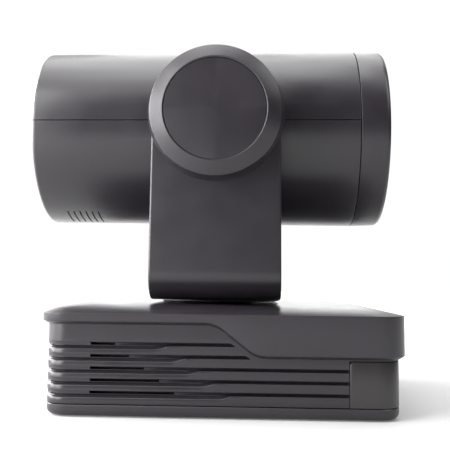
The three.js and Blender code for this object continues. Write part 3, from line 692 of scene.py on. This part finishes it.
def plate_shape():
    """Shallow tray with a rounded lower edge, as (inset, height) rings."""
    levels = [(2.9, PLATE_Z), (1.9, PLATE_Z + 0.12), (1.15, PLATE_Z + 0.45), (0.6, PLATE_Z + 0.95),
              (0.2, PLATE_Z + 1.6), (0, PLATE_Z + 2.4), (0, PLATE_TOP_Z - 0.25),
              (0.2, PLATE_TOP_Z), (WALL, PLATE_TOP_Z), (WALL, FLOOR_Z)]
    return skin([plan_ring(BASE_HALF - inset, BASE_CORNER - inset, lambda x, z=z: z)
                 for inset, z in levels])


def window_shape():
    """Smoked cover that wraps round both front corners, rounded at its two rear top corners."""
    plan = [row for row in plan_outline(BASE_HALF, BASE_CORNER, [WINDOW_X, 51.8, 52.2, 52.8, 53.4, 57])
            if row[0] >= WINDOW_X]
    first = next(i for i, row in enumerate(plan) if row[1] < 0)
    plan = plan[first:] + plan[:first]
    bottom = PLATE_TOP_Z + GAP
    rings = []
    for x, y, angle in plan:
        run = min(x - WINDOW_X, WINDOW_CORNER)
        fall = WINDOW_CORNER - math.sqrt(WINDOW_CORNER**2 - (WINDOW_CORNER - run) ** 2)
        top = WINDOW_TOP_Z - fall
        section = [(0, top - 0.35), (0.1, top - 0.1), (0.35, top), (WALL, top), (WALL, bottom),
                   (0.3, bottom), (0.08, bottom + 0.1), (0, bottom + 0.3)]
        nx, ny = math.cos(angle), math.sin(angle)
        rings.append([(x - nx * inset, y - ny * inset, z) for inset, z in section])
    return skin(rings)


def add_base():
    lid = piece("base_lid_look", "base", "shell_plastic", lid_shape(), BASE_CENTRE)
    soft_edges(lid, 0.12)
    piece("base_housing_look", "base", "shell_plastic", housing_shape(), BASE_CENTRE, crease=50)
    plate = piece("base_plate_look", "base", "shell_plastic", plate_shape(), BASE_CENTRE)
    holes = [rod("z", TRIPOD_HOLE, 0, PLATE_TOP_Z + 1)]
    for x, y in [(1, 1), (1, -1), (-1, 1), (-1, -1)]:
        foot = Vector((x * FOOT_OFFSET, y * FOOT_OFFSET, 0))
        screw = Vector((x * SCREW_X, y * SCREW_Y, 0))
        holes.append(shifted(rod("z", FOOT_RECESS, 0, RECESS_TOP_Z), foot))
        holes.append(shifted(rod("z", SCREW_HEAD_HOLE, 0, RECESS_TOP_Z), screw))
        holes.append(shifted(rod("z", SCREW_HOLE, 1, PLATE_TOP_Z + 1), screw))
    carve(plate, holes, BASE_CENTRE)
    piece("ir_window_look", "base", "smoked_acrylic", window_shape(), BASE_CENTRE)


def shifted(shape, offset):
    points, faces = shape
    return [tuple(Vector(p) + offset) for p in points], faces


# --- Yoke -------------------------------------------------------------------

FLAT_RUN = ARM_OUTER_Y - YOKE_CORNER
ARC_RUN = YOKE_CORNER * math.pi / 2
TILT_RUN = FLAT_RUN + ARC_RUN + TILT_Z - (YOKE_BOTTOM_Z + YOKE_CORNER)


def yoke_walls(run):
    """Outer and inner (y, z) of the U at one distance along it from the middle underneath."""
    if run < FLAT_RUN:
        outer = Vector((run, YOKE_BOTTOM_Z))
    elif run < FLAT_RUN + ARC_RUN:
        angle = (run - FLAT_RUN) / YOKE_CORNER
        outer = Vector((FLAT_RUN + YOKE_CORNER * math.sin(angle),
                        YOKE_BOTTOM_Z + YOKE_CORNER * (1 - math.cos(angle))))
    else:
        outer = Vector((ARM_OUTER_Y, YOKE_BOTTOM_Z + YOKE_CORNER + run - FLAT_RUN - ARC_RUN))
    inner_flat = ARM_INNER_Y - YOKE_INNER_CORNER
    inner_arm_z = YOKE_FLOOR_Z + YOKE_INNER_CORNER
    inner_end = FLAT_RUN + ARC_RUN + inner_arm_z - (YOKE_BOTTOM_Z + YOKE_CORNER)
    if run < inner_flat:
        inner = Vector((run, YOKE_FLOOR_Z))
    elif run < inner_end:
        angle = (run - inner_flat) / (inner_end - inner_flat) * math.pi / 2
        inner = Vector((inner_flat + YOKE_INNER_CORNER * math.sin(angle),
                        YOKE_FLOOR_Z + YOKE_INNER_CORNER * (1 - math.cos(angle))))
    else:
        inner = Vector((ARM_INNER_Y, outer.y))
    return outer, inner


def yoke_point(run, x, depth):
    """A point of the U: depth is measured inwards, or outwards from the inner side if negative."""
    side = 1 if run >= 0 else -1
    outer, inner = yoke_walls(abs(run))
    across = inner - outer
    share = depth / across.length if depth >= 0 else 1 + (depth + 1e-6) / across.length
    y, z = outer + across * share
    return (x, side * y, z)


def yoke_runs():
    """Distances along half of the U, closest together round its corner."""
    runs = [0, 10, 20, 28, 33]
    runs += [FLAT_RUN - 10 + 1.4 * i for i in range(26)]
    start = runs[-1]
    return runs + [start + (TILT_RUN - start) * i / 8 for i in range(1, 9)]


def yoke_loop(inset, depth):
    """The outline of the U laid flat, inset from its edge, at one depth below its outside."""
    quarter = []
    for run in yoke_runs():
        height = yoke_walls(run)[0].y
        taper = (height - YOKE_BOTTOM_Z) / (TILT_Z - YOKE_BOTTOM_Z)
        half = ARM_HALF_WIDTH + (ARM_TOP_RADIUS - ARM_HALF_WIDTH) * taper
        quarter.append((run, half - inset))
    radius = ARM_TOP_RADIUS - inset
    steps = 32
    for i in range(1, steps + 1):
        angle = math.pi / 2 * i / steps
        quarter.append((TILT_RUN + radius * math.sin(angle), radius * math.cos(angle)))
    back = [(run, -x) for run, x in reversed(quarter[:-1])]
    left = quarter + back
    right = [(-run, x) for run, x in reversed(quarter[1:-1])]
    right_back = [(-run, -x) for run, x in quarter[1:]]
    flat = left + right_back + right
    return [yoke_point(run, x, depth) for run, x in flat]


def faced(rings):
    """Rings of a U-shaped plate, skinned, with both faces closed straight across the width."""
    points, faces = skin(rings)
    faces = faces[:-2]
    count = len(rings[0])
    partner = across_pairs(rings[0])
    strips = {}
    for i in range(count):
        j = (i + 1) % count
        corners = tuple(dict.fromkeys((i, j, partner[j], partner[i])))
        if len(corners) > 2:
            strips.setdefault(frozenset(corners), corners)
    for start in (0, count * (len(rings) - 1)):
        faces += [tuple(v + start for v in corners) for corners in strips.values()]
    return points, faces


def across_pairs(ring):
    """For each point of a U outline, the index of the one straight across its width."""
    keys = {}
    for i, (_, y, z) in enumerate(ring):
        keys.setdefault((round(y, 4), round(z, 4)), []).append(i)
    partner = {}
    for members in keys.values():
        for i in members:
            partner[i] = members[-1] if i == members[0] else members[0]
    return partner


def edge_loops(radius, steps=5):
    """(inset, depth) of a quarter round from a face to its side."""
    loops = []
    for i in range(steps + 1):
        angle = math.pi / 2 * i / steps
        loops.append((radius * (1 - math.sin(angle)), radius * (1 - math.cos(angle))))
    return loops


def yoke_shell_shape():
    """Outer cover of the U, rounded on the outside and open towards the liner."""
    loops = edge_loops(ARM_EDGE)
    loops += [(0, -0.3), (0.1, -0.08), (0.3, -0.001), (WALL, -0.001), (WALL, WALL)]
    return faced([yoke_loop(inset, depth) for inset, depth in loops])


def yoke_liner_shape():
    """Inner cover of the U, set in by the shell's wall."""
    edge = WALL + GAP
    loops = [(edge, -2), (edge, -0.3), (edge + 0.1, -0.08), (edge + 0.3, -0.001)]
    return faced([yoke_loop(inset, depth) for inset, depth in loops])


def hub_ring_shape(side):
    """Ring with a steep flank and a wide sloping face round the cap."""
    bore = HUB_CAP_RADIUS + HUB_CAP_GAP
    inner, outer = side * HUB_INNER_Y, side * HUB_OUTER_Y
    return turned("y", [
        (bore, inner), (29.6, inner, 0.3), (28.15, side * 66.2, 0.7),
        (bore + 0.5, outer, 0.25), (bore, outer - side * 0.2),
    ])


def hub_cap_shape(side):
    inner, outer = (side * y for y in HUB_CAP_Y)
    return turned("y", [
        (NEAR_AXIS, inner), (HUB_CAP_RADIUS, inner), (HUB_CAP_RADIUS, outer, 0.35),
        (NEAR_AXIS, outer),
    ])


def turntable_shape():
    """Thin disc between lid and yoke, on a hollow shaft that goes down into the base."""
    bottom, top = TURNTABLE_Z
    return turned("z", [
        (11, 31), (16, 31), (16, bottom), (TURNTABLE_RADIUS, bottom, 0.2),
        (TURNTABLE_RADIUS, top, 0.3), (13, top), (13, 50.7), (11, 50.7),
    ])


def add_yoke():
    through = shifted(rod("y", HUB_HOLE, -70, 70, ROUND), Vector((0, 0, TILT_Z)))
    shell = piece("yoke_shell_look", "yoke", "shell_plastic", yoke_shell_shape(), PAN_CENTRE)
    pan_shaft = rod("z", PAN_SHAFT_HOLE, 40, 52, 96)
    carve(shell, [through, pan_shaft], PAN_CENTRE)
    liner = piece("yoke_liner_look", "yoke", "shell_plastic", yoke_liner_shape(), PAN_CENTRE)
    axle_hole = shifted(rod("y", LINER_AXLE_HOLE, -70, 70, 96), Vector((0, 0, TILT_Z)))
    carve(liner, [axle_hole], PAN_CENTRE)
    piece("turntable_look", "yoke", "dark_plastic", turntable_shape(), PAN_CENTRE)
    for name, side in (("left", 1), ("right", -1)):
        piece(f"{name}_hub_ring_look", "yoke", "shell_plastic", hub_ring_shape(side), TILT_CENTRE)
        piece(f"{name}_hub_cap_look", "yoke", "shell_plastic", hub_cap_shape(side), TILT_CENTRE)


# --- Head -------------------------------------------------------------------


def head_radius(x):
    """The drum widens very slightly towards the front."""
    return HEAD_RADIUS + HEAD_TAPER * x


def drum_profile(cut):
    """Section of the drum's wall as (radius, x), closed at the rear and open at the front."""
    rim, seam = head_radius(HEAD_REAR_X), head_radius(HEAD_SEAM_X)
    front, inner_rear = HEAD_SEAM_X - GAP, HEAD_REAR_X + WALL
    corners = [(cut, HEAD_REAR_X), (rim * 0.5, HEAD_REAR_X), (rim, HEAD_REAR_X, DRUM_END_ROUNDING)]
    corners += [(head_radius(x), x) for x in (-60, -30, 0, 30)]
    corners += [(seam, front, 0.25), (seam - WALL, front, 0.2)]
    corners += [(rim - WALL, inner_rear), (cut, inner_rear)]
    return rounded(corners)


def half_drum(upper):
    """One half of the hollow drum, split on a level seam plane."""
    cut = SHELL_SEAM_GAP / 2 + (SHELL_SEAM_Z if upper else -SHELL_SEAM_Z)
    steps = ROUND // 2
    rows = []
    for p in drum_profile(cut):
        radius = max(p.x, cut)
        start = math.asin(min(1, cut / radius))
        arc = []
        for i in range(steps + 1):
            angle = start + (math.pi - 2 * start) * i / steps
            z = radius * math.sin(angle)
            arc.append((p.y, radius * math.cos(angle), z if upper else -z))
        rows.append(arc)
    return looped_rows(rows)


def looped_rows(rows):
    """Points and faces of rows that close on the first one, with both open ends capped."""
    count = len(rows[0])
    points = [p for row in rows for p in row]
    faces = []
    for a in range(len(rows)):
        b = (a + 1) % len(rows)
        for i in range(count - 1):
            faces.append((a * count + i, a * count + i + 1, b * count + i + 1, b * count + i))
    faces.append(tuple(a * count for a in range(len(rows))))
    faces.append(tuple(a * count + count - 1 for a in reversed(range(len(rows)))))
    return points, faces


def front_ring_shape():
    """Ring round the front of the drum, with a soft front corner."""
    outer = head_radius(HEAD_SEAM_X)
    return turned("x", [
        (38.2, HEAD_SEAM_X), (outer, HEAD_SEAM_X, 0.25), (outer - 0.45, HEAD_FRONT_X - 1.4, 2),
        (outer - 1.5, HEAD_FRONT_X, 0.6), (39.2, HEAD_FRONT_X, 0.5), (38.2, HEAD_FRONT_X - 1.4, 0.5),
    ])


def bezel_shape():
    return turned("x", [(25.3, 66.5), (37.9, 70), (37.9, 72, 0.2), (25.3, 68.5, 0.2)])


def lens_ring_shape():
    return turned("x", [
        (20.6, 62.6), (25, 62.6), (25, 70.4, 0.7), (21.6, 70.4, 0.3), (20.6, 68.8, 0.3),
    ])


def front_lens_shape():
    """Lens with a domed front that is an arc of a large circle."""
    steps = 14
    dome = []
    for i in range(steps):
        angle = math.asin(LENS_EDGE / LENS_CURVE) * (1 - i / steps)
        sag = LENS_CURVE * (1 - math.cos(angle))
        dome.append((LENS_CURVE * math.sin(angle), LENS_TOP_X - sag))
    return turned("x", [(NEAR_AXIS, 62.8), (LENS_EDGE, 64), *dome, (NEAR_AXIS, LENS_TOP_X)])


def head_vents():
    """Cutters for the two rows of slots under the rear of the head."""
    near, far = HEAD_VENT_Y
    for i in range(HEAD_VENTS):
        x = HEAD_VENT_X + HEAD_VENT_PITCH * i
        rear, front = x - HEAD_VENT_HALF_WIDTH, x + HEAD_VENT_HALF_WIDTH
        yield block((rear, near, -50), (front, far, -30))
        yield block((rear, -far, -50), (front, -near, -30))


def add_head():
    axle_hole = rod("y", HEAD_AXLE_HOLE, -60, 60, 96)
    upper = piece("head_upper_shell_look", "head", "shell_plastic", half_drum(True), TILT_CENTRE)
    carve(upper, [axle_hole], TILT_CENTRE)
    lower = piece("head_lower_shell_look", "head", "shell_plastic", half_drum(False), TILT_CENTRE)
    carve(lower, [axle_hole, *head_vents()], TILT_CENTRE)
    soft_edges(upper, 0.12)
    soft_edges(lower, 0.12)
    piece("front_ring_look", "head", "shell_plastic", front_ring_shape(), TILT_CENTRE)
    piece("front_bezel_look", "head", "gloss_black", bezel_shape(), TILT_CENTRE)
    piece("lens_ring_look", "head", "dark_plastic", lens_ring_shape(), TILT_CENTRE)
    piece("front_lens_look", "head", "lens_glass", front_lens_shape(), TILT_CENTRE)


# --- Carried-over nodes -----------------------------------------------------


def finish_nodes():
    """Gives every CAD node that still shows its finish, and slightly soft edges."""
    for node in frame["nodes"].values():
        if node.hide_render:
            continue
        slot = node.data.materials[0].name
        node.data.materials[0] = FINISHES[slot]
        soft_edges(node, 0.1)


# --- Stage ------------------------------------------------------------------

FLOOR_HALF = 4000
FLOOR_THICKNESS = 20
# The floor glows as painted light, more with its distance from a point in front of the object, in
# metres: the dim spot near that point is painted shade, and the glow further out washes out the
# object's shadows
PAINTED_GLOW_CENTRE = (0.2, -0.1, 0)
PAINTED_GLOW_REACH = (0.22, 0.65)
PAINTED_GLOW_STRENGTH = (0.12, 1.0)

# How far the backdrop's white side turns towards the object's rear, and how softly it ends
BACKDROP_TURN = -0.5
BACKDROP_BLEND = (0, 0.4)
BACKDROP_DARK = (0.04, 0.04, 0.04)
BACKDROP_WHITE = (1.02, 1.02, 1.02)

CAMERA_PLACE = (0.02055, -0.36384, 0.05496)
CAMERA_YAW = 0.04145
CAMERA_PITCH = 0.079
CAMERA_ROLL = 0.00999
CAMERA_LENS = 57.45

SOFTBOX_SIZE = 0.55
SOFTBOX_DISTANCE = 1.1
# (bearing from the viewpoint towards the front, height angle, power)
SOFTBOXES = [
    (-120, 20, 13), (-85, 12, 15), (-50, 10, 10.5), (-50, 35, 8.6), (-20, 10, 0.3), (-90, 62, 2.8),
    (-30, 62, 3), (0, 88, 5), (60, 62, 1.5), (-150, 62, 2.9), (150, 62, 2.4), (180, 10, 1.6),
    (-153, 10, 1.7), (180, 35, 2), (75, 42, 3.4),
]


def add_floor():
    """A pale floor with painted light: it glows, dimly near the object and fully further out, so that
    it stays white to the horizon.
    """
    slab = block((-FLOOR_HALF, -FLOOR_HALF, -FLOOR_THICKNESS), (FLOOR_HALF, FLOOR_HALF, 0))
    floor = mesh_object("floor", *slab, Vector())
    material, tree, shader = tree_of("pale_floor_painted_glow")
    cloud = noise(tree, 3)
    tint = mixed(tree, spread(tree, cloud, 0, 1), (0.44, 0.44, 0.44), (0.47, 0.47, 0.47))
    tree.links.new(tint, shader.inputs["Base Color"])
    shader.inputs["Roughness"].default_value = 0.9
    # Painted light and shade: emission that grows with distance from a point in front of the object,
    # dim near it and bright beyond
    shader.inputs["Emission Color"].default_value = (1, 1, 1, 1)
    place = add(tree, "ShaderNodeTexCoord")
    far = add(tree, "ShaderNodeVectorMath", operation="DISTANCE")
    far.inputs[1].default_value = PAINTED_GLOW_CENTRE
    tree.links.new(place.outputs["Object"], far.inputs[0])
    painted_glow = spread(tree, far.outputs["Value"], *PAINTED_GLOW_STRENGTH, *PAINTED_GLOW_REACH)
    tree.links.new(painted_glow, shader.inputs["Emission Strength"])
    floor.data.materials.append(material)


def add_softboxes():
    """Soft lamps round the object, each by its bearing, height angle and power."""
    middle = Vector((0, 0, 0.1))
    for index, (bearing, height, power) in enumerate(SOFTBOXES):
        across, up = math.radians(bearing), math.radians(height)
        data = bpy.data.lights.new(f"softbox_{index}", "AREA")
        data.shape = "SQUARE"
        data.size = SOFTBOX_SIZE
        data.energy = power
        lamp = bpy.data.objects.new(data.name, data)
        bpy.context.scene.collection.objects.link(lamp)
        way = Vector((math.sin(across) * math.cos(up), -math.cos(across) * math.cos(up),
                      math.sin(up)))
        lamp.location = middle + way * SOFTBOX_DISTANCE
        lamp.rotation_euler = (-way).to_track_quat("-Z", "Y").to_euler()


def add_world():
    """White backdrop that lights the object from behind and from its rear only."""
    world = bpy.data.worlds.new("studio")
    bpy.context.scene.world = world
    world.use_nodes = True
    tree = world.node_tree
    place = add(tree, "ShaderNodeTexCoord")
    split = add(tree, "ShaderNodeSeparateXYZ")
    tree.links.new(place.outputs["Generated"], split.inputs[0])
    turn = add(tree, "ShaderNodeMath", operation="MULTIPLY_ADD")
    turn.inputs[1].default_value = BACKDROP_TURN
    tree.links.new(split.outputs["X"], turn.inputs[0])
    tree.links.new(split.outputs["Y"], turn.inputs[2])
    facing = spread(tree, turn.outputs[0], 0, 1, *BACKDROP_BLEND)
    rays = add(tree, "ShaderNodeLightPath")
    white = add(tree, "ShaderNodeMath", operation="MAXIMUM")
    tree.links.new(facing, white.inputs[0])
    tree.links.new(rays.outputs["Is Camera Ray"], white.inputs[1])
    tint = mixed(tree, white.outputs[0], BACKDROP_DARK, BACKDROP_WHITE)
    tree.links.new(tint, tree.nodes["Background"].inputs["Color"])


def add_camera():
    """A viewpoint beside the object's right side, a little below its head."""
    level = math.cos(CAMERA_PITCH)
    forward = Vector((-math.sin(CAMERA_YAW) * level, math.cos(CAMERA_YAW) * level,
                      math.sin(CAMERA_PITCH)))
    data = bpy.data.cameras.new("viewpoint")
    data.sensor_width = 36
    data.lens = CAMERA_LENS
    data.clip_start, data.clip_end = 0.01, 20
    viewpoint = bpy.data.objects.new("viewpoint", data)
    bpy.context.scene.collection.objects.link(viewpoint)
    aim = forward.to_track_quat("-Z", "Y").to_matrix().to_4x4()
    place = Matrix.Translation(CAMERA_PLACE)
    viewpoint.matrix_world = place @ aim @ Matrix.Rotation(CAMERA_ROLL, 4, "Z")
    bpy.context.scene.camera = viewpoint


add_base()
add_yoke()
add_head()
finish_nodes()
add_floor()
add_world()
add_softboxes()
add_camera()
bpy.context.scene.view_settings.view_transform = "Standard"
